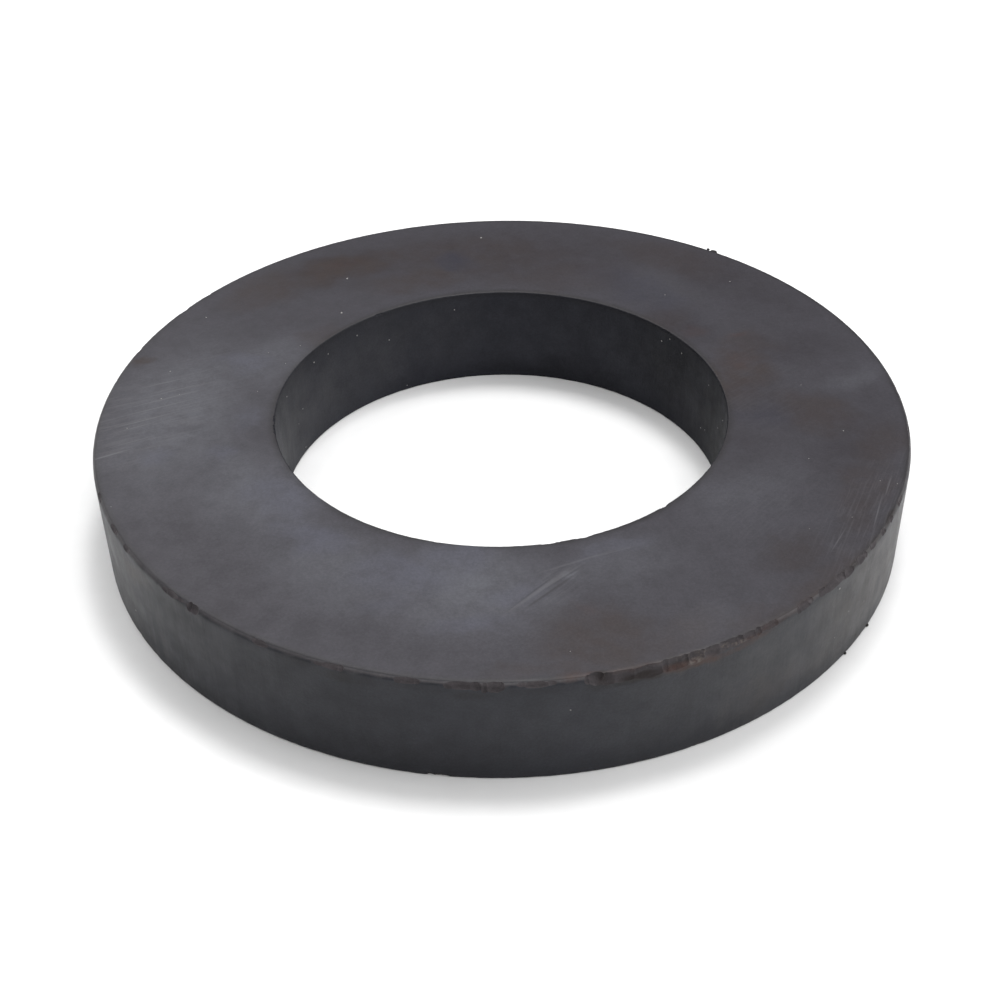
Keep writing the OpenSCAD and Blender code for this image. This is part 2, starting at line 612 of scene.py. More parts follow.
FACE_BLUE = [
    Mark(-26.5, 8.5, 3, 2, -20, 0.5), Mark(-33, -8, 1.6, 1.6, 0, 0.5), Mark(-27, -8, 1.6, 1.4, 0, 0.45),
    Mark(-25, -2, 1.4, 2.2, 0, 0.35), Mark(-20.5, -15, 4.5, 3, -50, 0.6), Mark(-17, -20.5, 4, 2, -30, 0.65),
    Mark(-8.5, -26, 4.5, 3, -10, 0.6), Mark(-4, -24, 3.5, 2.5, 30, 0.55), Mark(1, -29, 3, 1.5, 25, 0.5),
    Mark(-3, -33, 4, 1.2, 5, 0.5), Mark(-10, -30, 2.5, 1.5, 0, 0.3), Mark(10, -23, 4, 1.2, 25, 0.35),
]
FACE_INK = [Mark(-5, 29.3, 2.8, 2.2, 0, 0.6), Mark(26, -3, 3, 2, 20, 0.3), Mark(16, 22, 8, 3, -45, 0.35)]
FACE_SCRATCHES = [
    Mark(3.2, -28.4, 4.2, 0.22, 46, 0.55), Mark(2.3, -29.2, 3.0, 0.16, 48, 0.40),
    Mark(4.4, -27.4, 3.4, 0.18, 43, 0.45), Mark(1.4, -30.2, 2.2, 0.14, 45, 0.35),
    Mark(6.4, -24.8, 3.6, 0.14, 24, 0.35), Mark(9.5, -23.6, 3.0, 0.10, 20, 0.25),
    Mark(-33.5, 2.2, 4.0, 0.11, 24, 0.7), Mark(-34.0, 0.6, 4.5, 0.10, 24, 0.7),
    Mark(-33.0, 3.6, 3.6, 0.10, 25, 0.6), Mark(-35.0, -1.6, 3.4, 0.11, 25, 0.7),
    Mark(-36.0, -3.0, 2.4, 0.10, 26, 0.6), Mark(-34.4, 5.0, 2.8, 0.09, 22, 0.5),
    Mark(-35.8, -5.4, 2.6, 0.10, 26, 0.5), Mark(-37.6, -7.6, 2.2, 0.14, 27, 0.8),
    Mark(-36.9, -2.4, 1.4, 0.09, 22, 0.6), Mark(-30.4, 4.6, 2.0, 0.08, 26, 0.45),
    Mark(33.8, -18.6, 2.4, 0.08, 70, 0.5), Mark(35.6, -14.6, 1.8, 0.08, 68, 0.5),
    Mark(29.6, -22.4, 2.0, 0.07, 60, 0.4), Mark(31.6, -24.6, 1.6, 0.08, 64, 0.5),
]
FACE_DARK_SCRATCHES = [
    Mark(3.9, -28.8, 3.8, 0.16, 45, 0.6), Mark(2.8, -28.4, 3.0, 0.12, 47, 0.5),
    Mark(5.2, -26.9, 2.6, 0.12, 42, 0.4), Mark(7.0, -30.0, 5.0, 0.9, 48, 0.22),
]
SCORINGS = [
    Scoring(Mark(-35, -1, 9, 7, 80, 1.0), 24, 0.55, 0.36),
    Scoring(Mark(-30, 6, 8, 6, 60, 0.6), 24, 0.45, 0.28),
    Scoring(Mark(33, -19, 11, 4, 62, 1.0), 66, 0.40, 0.18),
    Scoring(Mark(24, -18, 8, 6, 50, 0.6), 48, 0.5, 0.14),
    Scoring(Mark(4, -28, 4.5, 2.5, 46, 0.8), 46, 0.45, 0.22),
    Scoring(Mark(26, 2, 6, 10, 0, 0.5), 40, 0.5, 0.14),
]
# Painted light: the outer wall is painted lighter towards its right end and its left end, where the light
# falls on it.
WALL_PAINTED_LIGHT = [
    WallMark(208, 5, 5, 9, 0.4), WallMark(276, 6, 8, 4, 0.12), WallMark(290, 6, 9, 6, 0.28),
    WallMark(303, 6.5, 9, 6, 0.5), WallMark(318, 7, 9, 7, 0.45), WallMark(330, 6.5, 8, 8, 0.4),
]
# Painted shade: the outer wall is painted darker towards its bottom and on its front-left.
WALL_PAINTED_SHADE = [
    WallMark(258, 2, 16, 3.5, 0.5), WallMark(290, 1, 14, 2, 0.4), WallMark(322, 0.6, 14, 1.4, 0.5),
    WallMark(222, 0.5, 12, 1.2, 0.5), WallMark(226, 8, 9, 5, 0.5), WallMark(240, 8, 9, 4, 0.4),
    WallMark(252, 7, 6, 4, 0.3), WallMark(337, 1.5, 4, 2, 0.8),
]
# Painted shade: a dark band just under the upper outer rim at the front, below its chips.
WALL_RIM_SHADE = [
    WallMark(251, 9.9, 2.8, 0.6, 0.6), WallMark(265.8, 9.6, 1.6, 0.5, 0.55),
    WallMark(284.9, 9.75, 1.7, 0.40, 0.9), WallMark(281.0, 9.8, 1.2, 0.6, 0.7),
    WallMark(245, 10.2, 3, 0.4, 0.35), WallMark(259, 10.1, 3, 0.4, 0.3), WallMark(273, 10.0, 3, 0.4, 0.25),
    WallMark(226, 10.1, 1.0, 0.4, 0.35),
]
WALL_WARM = [
    WallMark(215, 9, 3, 1.5, 0.5), WallMark(292, 9.6, 4, 0.9, 0.35), WallMark(324, 6, 9, 6, 0.4),
    WallMark(318, 3, 7, 2.5, 0.3), WallMark(335, 5, 5, 6, 0.5), WallMark(305, 3, 6, 3, 0.25),
]
# Painted light: the bore's wall is painted lighter on its left side, which faces the light.
BORE_PAINTED_LIGHT = into_bore(
    WallMark(168, 6, 8, 8, 1.0), WallMark(150, 5, 8, 7, 0.8), WallMark(130, 6, 7, 7, 0.7),
    WallMark(110, 7, 7, 5, 0.35),
)
# Painted shade: the bore's wall is painted darker on its right side, at its bottom and under its upper rim.
BORE_PAINTED_SHADE = into_bore(
    WallMark(76, 1, 10, 2.5, 0.4), WallMark(30, 7, 9, 7, 0.75), WallMark(150, 10, 14, 1.5, 0.2),
    WallMark(8, 5, 12, 9, 1.0),
)
RIM_RUN = [
    RimMark(286.6, 0.30, 0.25, 0.35, 1.0), RimMark(289.7, 0.7, 0.25, 0.45, 0.8),
    RimMark(291.8, 4.0, 0.5, 0.9, 0.35), WallMark(292.9, 10.05, 0.7, 0.28, 0.9),
    WallMark(293.8, 10.55, 0.5, 0.25, 0.9), WallMark(297.1, 10.6, 0.5, 0.16, 0.9),
    WallMark(298.8, 10.5, 0.7, 0.16, 0.8), RimMark(302, 1.0, 0.15, 0.15, 0.5),
]
RIM_BROWN = [
    WallMark(291.3, 9.85, 1.8, 0.42, 0.9), WallMark(294.3, 9.7, 1.8, 0.38, 0.8),
    WallMark(298.0, 9.9, 2.4, 0.35, 0.6), WallMark(301.1, 10.3, 2.0, 0.35, 0.6),
    RimMark(285, 3.0, 0.8, 0.5, 0.6), RimMark(278, 1.6, 0.9, 0.4, 0.6), RimMark(304, 4.0, 0.4, 0.4, 0.4),
    RimMark(312, 4.0, 0.7, 0.3, 0.3),
]
# Painted shade in and under the chips of the upper outer rim, at the front and to its right.
RIM_CHIP_SHADE = [
    RimMark(281.4, 0.9, 0.7, 1.0, 1.0), RimMark(282.2, 0.7, 0.3, 1.3, 0.7),
    RimMark(319.5, 1.6, 0.5, 0.35, 0.6), RimMark(325, 1.8, 0.45, 0.25, 0.6),
    RimMark(331, 2.0, 0.45, 0.25, 0.6), WallMark(285.9, 9.95, 1.6, 0.32, 0.8),
    WallMark(287.5, 9.6, 0.9, 0.3, 0.7),
]


# ---------------------------------------------------------------------------------------------
# Finishes
# ---------------------------------------------------------------------------------------------

MOTTLE = 0.10  # how far the clean ceramic's colour varies, as a share
RIM_PAINT_SHARE = 0.9  # how much of the colour painted along the upper rims shows: painted shade on the faces and the bore, a painted highlight on the outer wall and the breaks
RIM_PAINT_FULL = 0.1 * MM  # how near to a rim that painted colour is complete
SCORED = (0.100, 0.098, 0.106)
SCRATCHED = (0.100, 0.099, 0.107)
SCRATCHED_DARK = (0.030, 0.028, 0.032)


@dataclass(frozen=True)
class Layer:
    """Marks of one kind that lie over the ceramic.

    Attributes:
        marks: The marks.
        tint: Their colour.
        core: Share of each mark's radius that it covers in full.
        grain_mm: Size of the thin spots in them.
        thin: How much the thinnest spots cover.
        gaps: Noise values at which a spot is thinnest and fullest.
        wander_mm: How far the borders of its marks wander.
    """

    marks: Sequence[AnyMark]
    tint: Colour
    core: float = 0.1
    grain_mm: float = 1.9
    thin: float = 0.55
    gaps: tuple[float, float] = (0.30, 0.62)
    wander_mm: float = 6.0


@dataclass(frozen=True)
class FerriteFinish:
    """Fired ferrite: a hard, matt, blue-grey ceramic with grinding marks and handling stains, and with
    painted light and shade.

    Attributes:
        name: The material's name.
        size: The ring's sizes, which the marks and the worn rims are placed by.
        base: Colour of the clean ceramic.
        layers: What is painted over the ceramic, stains and patches of painted light and shade, in the
            order in which it is laid.
        specular: How strongly its surface shines.
        rim: Colour painted along the upper rims: darker as painted shade on the face and the bore, lighter
            as a painted highlight on the rounding of the outer wall and on the breaks.
        sheen: Roughness of its glossiest and its dullest spots.
        rim_reach: How far that painted rim colour reaches at least and at most from a rim, in millimetres.
    """

    name: str
    size: RingSize
    base: Colour
    layers: tuple[Layer, ...]
    specular: float
    # Painted shade: the ground face's upper rims are painted darker than the face, toning down the light on
    # their rounding.
    rim: Colour = (0.027, 0.0255, 0.0275)
    sheen: tuple[float, float] = (0.40, 0.52)
    rim_reach: tuple[float, float] = (0.8, 1.3)

    def ragged(self, bench: Bench, wander: Socket, reach_mm: float) -> Socket:
        """Give coordinates that wander by up to about half a reach, for ragged borders."""
        shift = bench.vector("MULTIPLY", wander, [reach_mm * MM] * 3)
        node = bench.tree.nodes.new("ShaderNodeMapping")
        bench.plug(node.inputs["Vector"], bench.place)
        bench.plug(node.inputs["Location"], shift)
        return node.outputs["Vector"]

    def cover(self, bench: Bench, marks: Iterable[AnyMark], at: Socket, core: float) -> Socket:
        """Lay marks over each other.

        Args:
            bench: The material's nodes.
            marks: The marks to lay.
            at: The coordinates that they read.
            core: Share of each mark's radius that it covers in full.

        Returns:
            How much the marks cover, from 0 to 1.
        """
        total: Value = 0.0
        for mark in marks:
            centre, turn, halves = mark.lie(self.size)
            near = bench.nearness(at, centre, turn, [half * FADE for half in halves])
            share = bench.ease(near, 0.0, 1 - core / FADE, 0.0, mark.strength)
            total = bench.math("MAXIMUM", total, share)
        return total

    def rim_wear_and_painted_light(self, bench: Bench) -> Socket:
        """Give how near a point is to one of the two upper rims, from 0 to 1, in ragged patches, for the
        painted light and shade along them.
        """
        parts = bench.tree.nodes.new("ShaderNodeSeparateXYZ")
        bench.plug(parts.inputs[0], bench.place)
        flat = bench.vector("MULTIPLY", bench.place, (1.0, 1.0, 0.0))
        radius = bench.vector("LENGTH", flat, output="Value")
        middle_r = (self.size.outer_r + self.size.bore_r) / 2
        half_w = (self.size.outer_r - self.size.bore_r) / 2
        in_wall = bench.math("ABSOLUTE", bench.math("SUBTRACT", radius, middle_r))
        from_wall = bench.math("SUBTRACT", half_w, in_wall)
        from_face = bench.math("SUBTRACT", self.size.height, parts.outputs["Z"])
        away = bench.math("MAXIMUM", from_wall, from_face)
        least, most = self.rim_reach
        reach = bench.ease(bench.noise(1.3, detail=3.0), 0.35, 0.75, least * MM, most * MM)
        return bench.ease(away, reach, RIM_PAINT_FULL)

    def stained_with_painted_light(self, bench: Bench, mottle: Socket) -> Socket:
        """Give the ceramic's colour under its marks, mottled and with painted light and shade along its
        upper rims.

        Args:
            bench: The material's nodes.
            mottle: Noise that the clean ceramic's own colour follows.

        Returns:
            The colour's socket.
        """
        noise = bench.noise(5.0, detail=4.0, output="Color", rough=0.6)
        wander = bench.vector("SUBTRACT", noise, (0.5, 0.5, 0.5))
        darker, lighter = ([c * (1 + shift) for c in self.base] for shift in (-MOTTLE, MOTTLE))
        colour = bench.blend(bench.ease(mottle, 0.3, 0.7), darker, lighter)
        # The upper rims get painted colour: painted shade on the face and the bore, a painted highlight on
        # the rounding of the outer wall and on the breaks.
        colour = bench.blend(bench.math("MULTIPLY", self.rim_wear_and_painted_light(bench), RIM_PAINT_SHARE), colour, self.rim)
        for layer in self.layers:
            spots = bench.noise(layer.grain_mm, detail=4.0, rough=0.65)
            broken = bench.ease(spots, *layer.gaps, layer.thin, 1.0)
            ragged = self.ragged(bench, wander, layer.wander_mm)
            share = bench.math("MULTIPLY", self.cover(bench, layer.marks, ragged, layer.core), broken)
            colour = bench.blend(share, colour, layer.tint)
        speckle = bench.ease(bench.noise(0.22, detail=3.0, rough=0.7), 0.25, 0.8, 0.86, 1.14)
        shade = bench.tree.nodes.new("ShaderNodeCombineColor")
        for socket in shade.inputs:
            bench.plug(socket, speckle)
        return bench.blend(1.0, colour, shade.outputs["Color"], "MULTIPLY")

    def build(self) -> bpy.types.Material:
        """Wire up the material and return it."""
        bench = Bench(self.name)
        mottle = bench.noise(2.6, detail=5.0, rough=0.62)
        colour, normal = self.tool_marks(bench, self.stained_with_painted_light(bench, mottle))
        gloss = bench.ease(mottle, 0.25, 0.75, self.sheen[1], self.sheen[0])
        return bench.finish(colour, gloss, self.specular, normal)

    def tool_marks(self, bench: Bench, colour: Socket) -> tuple[Socket, Socket]:
        """Add the marks of the tool that shaped the surface, and give its colour and normal."""
        raise NotImplementedError


class GroundFinish(FerriteFinish):
    """A face that was ground flat: fine parallel lines, deeper on one side, and scratches."""

    def tool_marks(self, bench: Bench, colour: Socket) -> tuple[Socket, Socket]:
        """Add grinding lines and scratches, and give the surface's colour and normal."""
        fine_lines = bench.noise(0.16, detail=1.0, stretch=(90.0, 1.0, 90.0), turn=24.0)
        normal = bench.bump(fine_lines, distance=0.006 * MM, strength=0.6)
        for scoring in SCORINGS:
            lines = bench.noise(scoring.spacing_mm / 2, stretch=(14.0, 1.0, 14.0), turn=scoring.turn)
            within = self.cover(bench, [scoring.patch], bench.place, core=0.3)
            shown = bench.math("MULTIPLY", within, bench.ease(lines, 0.46, 0.70, high=scoring.strength))
            colour = bench.blend(shown, colour, SCORED)
        scratched = self.cover(bench, FACE_SCRATCHES, bench.place, core=0.2)
        colour = bench.blend(scratched, colour, SCRATCHED)
        scored = self.cover(bench, FACE_DARK_SCRATCHES, bench.place, core=0.2)
        return bench.blend(scored, colour, SCRATCHED_DARK), normal


class PressedFinish(FerriteFinish):
    """A wall as the press and the kiln left it: faint upright streaks and a fine grain."""

    def tool_marks(self, bench: Bench, colour: Socket) -> tuple[Socket, Socket]:
        """Add upright streaks and grain, and give the surface's colour and normal."""
        streaks = bench.noise(0.9, detail=4.0, stretch=(1.0, 1.0, 9.0))
        grain = bench.noise(0.22, detail=3.0, rough=0.7)
        normal = bench.bump(streaks, distance=0.06 * MM, strength=0.6)
        return colour, bench.bump(grain, distance=0.03 * MM, strength=0.5, below=normal)


class FractureFinish(FerriteFinish):
    """A broken surface, with the coarsest grain of all."""

    def tool_marks(self, bench: Bench, colour: Socket) -> tuple[Socket, Socket]:
        """Add the coarse grain of a break, and give the surface's colour and normal."""
        grain = bench.noise(0.25, detail=3.0, rough=0.65)
        return colour, bench.bump(grain, distance=0.06 * MM, strength=0.7)


RUN_SPECKS = Layer(RIM_RUN, (0.104, 0.088, 0.080), core=0.5, grain_mm=0.45, thin=0.1, gaps=(0.42, 0.60),
                   wander_mm=0.8)
RUN_BROWN = Layer(RIM_BROWN, (0.048, 0.026, 0.021), core=0.4, grain_mm=0.8, thin=0.5, wander_mm=1.5)
# Painted shade in and under the rim's chips; the brown stain and the light specks are the rim's own colour.
RIM_PAINTED_SHADE = Layer(RIM_CHIP_SHADE, (0.016, 0.012, 0.011), core=0.5, grain_mm=0.8, thin=0.8, wander_mm=0.8)
RIM_LAYERS = (RUN_BROWN, RIM_PAINTED_SHADE, RUN_SPECKS)


def face_finish(size: RingSize) -> FerriteFinish:
    """Give the finish of the two ground faces, with painted light towards the front-left and painted shade
    towards the back and the right among their stains.
    """
    layers = (
        # Painted light, together with the face's own lighter tone.
        Layer(FACE_PAINTED_LIGHT_AND_TONE, (0.078, 0.079, 0.091)),
        # Painted shade, together with the face's own darker tone.
        Layer(FACE_PAINTED_SHADE_AND_TONE, (0.025, 0.022, 0.026)),
        Layer(FACE_BROWN, (0.034, 0.026, 0.025), core=0.35),
        Layer(FACE_BLUE, (0.067, 0.068, 0.088), core=0.3),
        Layer(FACE_INK, (0.026, 0.027, 0.040), core=0.3),
        Layer(FACE_RUST, (0.058, 0.034, 0.031), core=0.2),
        *RIM_LAYERS,
    )
    return GroundFinish("ground_face", size, (0.041, 0.039, 0.046), layers, specular=0.2)


def wall_finish(size: RingSize) -> FerriteFinish:
    """Give the finish of the outer wall, with painted light towards its ends, painted shade towards its
    bottom and under its upper rim, and a painted highlight along that rim, among its stains.
    """
    layers = (
        # Painted light.
        Layer(WALL_PAINTED_LIGHT, (0.055, 0.055, 0.056)),
        # Painted shade.
        Layer(WALL_PAINTED_SHADE, (0.011, 0.011, 0.014), wander_mm=4.0),
        Layer(WALL_WARM, (0.060, 0.050, 0.045), core=0.2),
        # Painted shade under the upper rim.
        Layer(WALL_RIM_SHADE, (0.010, 0.009, 0.010), core=0.4, wander_mm=1.5),
        *RIM_LAYERS,
    )
    # The outer wall's upper rim is painted lighter: a painted highlight on its rounding.
    return PressedFinish("pressed_wall", size, (0.0203, 0.0213, 0.0277), layers, specular=0.25,
                         rim=(0.072, 0.0675, 0.0705), rim_reach=(0.35, 0.65))


def bore_finish(size: RingSize) -> FerriteFinish:
    """Give the finish of the bore's wall, which is duller than the outer one, with painted light on its
    left side and painted shade on its right side, at its bottom and along its upper rim.
    """
    # Painted light and painted shade on the bore's wall; the darker rim colour is painted shade along its
    # upper rim.
    layers = (Layer(BORE_PAINTED_LIGHT, (0.036, 0.036, 0.041)), Layer(BORE_PAINTED_SHADE, (0.005, 0.005, 0.007)))
    return PressedFinish("bore_wall", size, (0.0198, 0.0206, 0.0275), layers, specular=0.15,
                         rim=(0.016, 0.016, 0.020), sheen=(0.50, 0.62))


def fracture_finish(size: RingSize) -> FerriteFinish:
    """Give the finish of the broken surfaces, painted lighter near the upper rims as a painted highlight.
    """
    return FractureFinish("fracture", size, (0.041, 0.036, 0.039), RIM_LAYERS, specular=0.2,
                          rim=(0.068, 0.060, 0.064), sheen=(0.5, 0.65), rim_reach=(0.35, 0.65))


@dataclass(frozen=True)
class PlainFinish:
    """A dull finish with a little variation, for dust, crumbs and the floor.

    Attributes:
        name: The material's name.
        colour: Its middle colour.
        grain_mm: Size of its variation.
        roughness: How dull it is.
        spread: How far its colour varies, as a share.
        specular: How strongly it shines.
    """

    name: str
    colour: Colour
    grain_mm: float
    roughness: float
    spread: float = 0.3
    specular: float = 0.2

    def build(self) -> bpy.types.Material:
        """Wire up the material and return it."""
        bench = Bench(self.name)
        grain = bench.noise(self.grain_mm, detail=3.0, rough=0.6)
        darker = [c * (1 - self.spread) for c in self.colour]
        lighter = [min(c * (1 + self.spread), 1.0) for c in self.colour]
        colour = bench.blend(bench.ease(grain, 0.3, 0.7), darker, lighter)
        return bench.finish(colour, self.roughness, self.specular)


# ---------------------------------------------------------------------------------------------
# The ring
# ---------------------------------------------------------------------------------------------


BORE_SLOT = 1  # where the bore's finish stands among the ring's materials
FACE_SLOT = 2  # where the ground faces' finish stands among them
NEARLY_LEVEL = 0.9  # least upright share of the normal of a face that counts as ground


@dataclass
class FerriteRing:
    """The ring itself: a section spun round the axis, worn along its rims and chipped.

    Attributes:
        size: The ring's sizes.
        steps: How many faces it has round its axis.
        arc_steps: How many faces it has over each rim's arc.
        near_rim_mm: How far the section's closer points lie from the end of an arc.
        between_mm: How far the section's other points lie apart, roughly.
        smooth_angle: Angle in degrees under which two faces blend.
        rim_wear_and_painted_light: How deep the rims are rubbed down.
        wear_grain: Size of the patches in that wear.
        wear_reach: How far that wear reaches from a rim.
        wall_waves: How high the walls' waves are.
        wave_grain: Size of those waves.
        wave_fade: How far from a face the waves reach their full height.
        passes: How many turns the chips are cut in, so that neighbours never meet.
        seed: Start of the random draws for the chips.
        sag: How hollow a chip is, as a share of its width.
        least_sag: How hollow it is at least.
        lumps: How high the lumps in a chip are.
        lump_grain: Size of those lumps.
        bore_reach: How far out from the bore a chip still counts as the bore's own.
    """

    size: RingSize
    steps: int = 1080
    arc_steps: int = 6
    near_rim_mm: tuple[float, ...] = (0.25, 0.5, 0.8, 1.2, 2.0)
    between_mm: float = 2.4
    smooth_angle: float = 32.0
    rim_wear_and_painted_light: float = 0.07 * MM
    wear_grain: float = 0.9 * MM
    wear_reach: float = 0.7 * MM
    wall_waves: float = 0.03 * MM
    wave_grain: float = 6.0 * MM
    wave_fade: float = 0.8 * MM
    passes: int = 3
    seed: int = 11
    sag: float = 0.10
    least_sag: float = 0.02 * MM
    lumps: float = 0.13 * MM
    lump_grain: float = 0.45 * MM
    bore_reach: float = 1.0 * MM

    def arc(self, radius: float, height: float, edge: float, start: int) -> list[Point]:
        """List the points of a rim's arc, from bottom to top on the outer side.

        Args:
            radius: Where the arc's centre lies.
            height: Where the arc's centre lies.
            edge: The arc's own radius.
            start: Angle in degrees at which it begins.

        Returns:
            Its points as (radius, height).
        """
        turns = [math.radians(start + 90 * step / self.arc_steps) for step in range(self.arc_steps + 1)]
        return [(radius + edge * math.cos(turn), height + edge * math.sin(turn)) for turn in turns]

    def outline(self) -> list[Point]:
        """List the section's corners as (radius, height), once round from the lower bore rim.

        Returns:
            The points, closer together near the rims, where the ring is worn.
        """
        size, edge, worn = self.size, self.size.edge_r, self.size.worn_r
        arcs = [
            self.arc(size.bore_r + edge, edge, edge, 180),
            self.arc(size.outer_r - edge, edge, edge, 270),
            self.arc(size.outer_r - worn, size.height - worn, worn, 0),
            self.arc(size.bore_r + edge, size.height - edge, edge, 90),
        ]
        points: list[Point] = []
        for arc, following in zip(arcs, arcs[1:] + arcs[:1]):
            points += arc + self.along(arc[-1], following[0])
        return points

    def along(self, start: Point, end: Point) -> list[Point]:
        """List the points between two rims, dense at both ends.

        Args:
            start: The point where one rim ends.
            end: The point where the next rim begins.

        Returns:
            The points between them, in order.
        """
        span = math.dist(start, end)
        near = [mm * MM for mm in self.near_rim_mm]
        gap = span - 2 * near[-1]
        pieces = max(round(gap / (self.between_mm * MM)), 1)
        middle = [near[-1] + gap * k / pieces for k in range(1, pieces)]
        stops = near + middle + [span - s for s in reversed(near)]
        shares = [stop / span for stop in stops]
        return [(start[0] + (end[0] - start[0]) * s, start[1] + (end[1] - start[1]) * s) for s in shares]

    def spin(self) -> bpy.types.Object:
        """Extrude one vertex along the section's outline and spin it into a closed ring.

        Returns:
            The plain ring, its faces pointing outwards.
        """
        clear_selection()
        points = self.outline()
        first = points[0]
        bpy.ops.mesh.primitive_plane_add(size=MM, location=(first[0], 0, first[1]))
        ring = bpy.context.object
        bpy.ops.object.transform_apply(location=True)
        with open_mesh():
            bpy.ops.mesh.merge(type="CENTER")
            for here, there in zip(points, points[1:] + points[:1]):
                step = (there[0] - here[0], 0.0, there[1] - here[1])
                bpy.ops.mesh.extrude_region_move(TRANSFORM_OT_translate={"value": step})
            bpy.ops.mesh.select_all(action="SELECT")
            bpy.ops.mesh.remove_doubles(threshold=WELD)
        apply_modifier(ring, "SCREW", angle=math.tau, steps=self.steps, render_steps=self.steps,
                       axis="Z", use_merge_vertices=True, merge_threshold=WELD)
        with open_mesh():
            bpy.ops.mesh.normals_make_consistent(inside=False)
        ring.name = "ferrite_ring"
        ring.data.name = "ferrite_ring"
        return ring

    def wear(self, ring: bpy.types.Object) -> None:
        """Rub the rims down unevenly and leave the walls a little wavy from the press."""
        size = self.size

        def near_rim(place: Vector) -> float:
            radius = math.hypot(place.x, place.y)
            from_wall = min(size.outer_r - radius, radius - size.bore_r)
            from_face = min(place.z, size.height - place.z)
            return max(0.0, 1.0 - (from_wall + from_face) / self.wear_reach)

        def on_wall(place: Vector) -> float:
            from_face = min(place.z, size.height - place.z)
            return min(1.0, max(0.0, from_face / self.wave_fade))

        weigh_vertices(ring, "rims", near_rim)
        weigh_vertices(ring, "walls", on_wall)
        wear = soft_noise("rim_wear_and_painted_light", self.wear_grain)
        apply_modifier(ring, "DISPLACE", texture=wear, texture_coords="LOCAL", vertex_group="rims",
                       strength=-self.rim_wear_and_painted_light, mid_level=0.25)
        waves = soft_noise("wall_waves", self.wave_grain)
        apply_modifier(ring, "DISPLACE", texture=waves, texture_coords="LOCAL", vertex_group="walls",
                       strength=self.wall_waves, mid_level=0.5)

    def scoop(self, chip: Chip, rim: Rim, dice: random.Random) -> bpy.types.Object:
        """Model the air that one chip leaves: a flattened ball that meets face, wall and rim.

        Args:
            chip: The chip.
            rim: The rim that it was broken from.
            dice: The source of its small irregularities.

        Returns:
            The scoop, at its place.
        """
        out, up = rim.air()
        over, down, half_length = (mm * MM for mm in (chip.over_mm, chip.down_mm, chip.length_mm / 2))
        chord = math.hypot(over, down)
        rim_off = over * down / chord
        rim_shift = (down * down - over * over) / (2 * chord)
        thick = rim_off + max(self.sag * chord, self.least_sag)
        wide = chord / 2 / math.sqrt(1 - (rim_off / thick) ** 2)
        long = half_length / math.sqrt(1 - (rim_shift / wide) ** 2) * dice.uniform(0.92, 1.08)
        radius = rim.radius(self.size) + out * (rim_off * down / chord - over / 2)
        height = rim.height(self.size) + up * (rim_off * over / chord - down / 2)
        turn = (0.0, -math.atan2(up * over, out * down), math.radians(chip.angle))
        return add_ball(on_wheel(radius, chip.angle, height), turn, (thick, long, wide), divisions=4)

    def splinter(self, chip: Chip, side: int, radius: float, dice: random.Random) -> Chip:
        """Give a smaller flake that runs into a chip.

        Args:
            chip: The chip.
            side: 1 or -1 for the end of the chip that it lies at.
            radius: The rim's radius.
            dice: The source of its size and place.

        Returns:
            The smaller flake.
        """
        along = side * dice.uniform(0.25, 0.5) * chip.length_mm * MM / radius
        return Chip(chip.angle + math.degrees(along), chip.over_mm * dice.uniform(0.6, 1.15),
                    chip.down_mm * dice.uniform(0.5, 1.1), chip.length_mm * dice.uniform(0.3, 0.6))

    def cut_chips(self, ring: bpy.types.Object) -> None:
        """Cut the chips out of the ring, in passes in which no two scoops meet."""
        dice = random.Random(self.seed)
        lumps = soft_noise("fracture_lumps", self.lump_grain)
        fracture = fracture_finish(self.size).build()
        for side, turn in itertools.product((0, -1, 1), range(self.passes)):
            balls = []
            for rim, chips in CHIPS.items():
                ordered = sorted(chips, key=lambda chip: chip.angle)[turn::self.passes]
                if side:
                    ordered = [self.splinter(chip, side, rim.radius(self.size), dice) for chip in ordered]
                balls += [self.scoop(chip, rim, dice) for chip in ordered]
            cutter = join(balls)
            cutter.data.materials.append(fracture)
            apply_modifier(cutter, "DISPLACE", texture=lumps, texture_coords="LOCAL",
                           strength=self.lumps, mid_level=0.5)
            apply_modifier(ring, "BOOLEAN", object=cutter, operation="DIFFERENCE", solver="MANIFOLD",
                           material_mode="TRANSFER")
            bpy.data.objects.remove(cutter)

    def dress(self, ring: bpy.types.Object) -> None:
        """Give the outer wall, the bore and the ground faces their finishes."""
        for finish in (wall_finish, bore_finish, face_finish):
            ring.data.materials.append(finish(self.size).build())
        middle_r = (self.size.outer_r + self.size.bore_r) / 2
        for face in ring.data.polygons:
            if abs(face.normal.z) > NEARLY_LEVEL:
                face.material_index = FACE_SLOT
            elif math.hypot(face.center.x, face.center.y) < middle_r:
                face.material_index = BORE_SLOT

    def darken_bore(self, ring: bpy.types.Object) -> None:
        """Give the chips on the bore's rims the bore's own finish: they are as dark as its wall."""
        reach_r = self.size.bore_r + self.bore_reach
        fracture = ring.data.materials.find("fracture")
        for face in ring.data.polygons:
            if face.material_index == fracture and math.hypot(face.center.x, face.center.y) < reach_r:
                face.material_index = BORE_SLOT

    def build(self) -> bpy.types.Object:
        """Make, wear, dress and chip the ring.

        Returns:
            The finished ring, riding on the part's body in place of its CAD node.
        """
        ring = self.spin()
        self.wear(ring)
        self.dress(ring)
        self.cut_chips(ring)
        self.darken_bore(ring)
        take_up(ring)
        bpy.ops.object.shade_smooth_by_angle(angle=math.radians(self.smooth_angle))
        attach(ring, BODY)
        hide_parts(NODE)
        return ring


# ---------------------------------------------------------------------------------------------
# Dust and crumbs
# ---------------------------------------------------------------------------------------------


